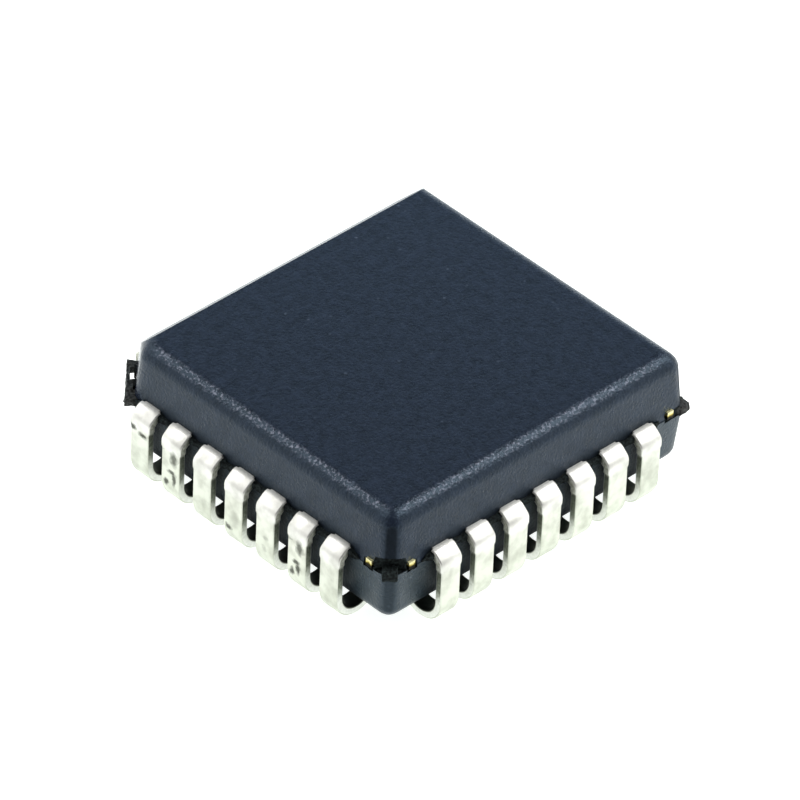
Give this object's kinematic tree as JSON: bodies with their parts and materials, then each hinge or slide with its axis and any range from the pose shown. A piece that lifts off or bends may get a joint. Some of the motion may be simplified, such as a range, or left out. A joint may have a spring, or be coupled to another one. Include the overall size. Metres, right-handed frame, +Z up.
{
  "type": "plastic leaded chip carrier",
  "caption": "Square moulded epoxy chip package with J-bent tinned leads on all four sides, for surface soldering or for a socket.",
  "frame": {"origin": "centre of the seating plane under the lead feet", "axes": "+Z up out of the blank top face, +Y towards the side of lead 1 with the bevelled top edge, index corner at -X +Y"},
  "size_m": [0.0124, 0.0124, 0.0042],
  "materials": {
    "moulded_epoxy": "fine spark-eroded mould texture",
    "tinned_lead": "matte tin plate on copper alloy",
    "bare_copper": "rolled copper alloy strip, bare where cut",
    "die_attach": "cured silver-filled epoxy",
    "silicon": "polished silicon",
    "gold_wire": "drawn gold"
  },
  "bodies": {
    "root": {"body": "moulded_epoxy", "die_pad": "bare_copper", "die_attach": "die_attach", "die": "silicon", "bond_wires": "gold_wire", "lead_01": "tinned_lead", "lead_02": "tinned_lead", "lead_03": "tinned_lead", "lead_04": "tinned_lead", "lead_05": "tinned_lead", "lead_06": "tinned_lead", "lead_07": "tinned_lead", "lead_08": "tinned_lead", "lead_09": "tinned_lead", "lead_10": "tinned_lead", "lead_11": "tinned_lead", "lead_12": "tinned_lead", "lead_13": "tinned_lead", "lead_14": "tinned_lead", "lead_15": "tinned_lead", "lead_16": "tinned_lead", "lead_17": "tinned_lead", "lead_18": "tinned_lead", "lead_19": "tinned_lead", "lead_20": "tinned_lead", "lead_21": "tinned_lead", "lead_22": "tinned_lead", "lead_23": "tinned_lead", "lead_24": "tinned_lead", "lead_25": "tinned_lead", "lead_26": "tinned_lead", "lead_27": "tinned_lead", "lead_28": "tinned_lead"}
  },
  "joints": []
}
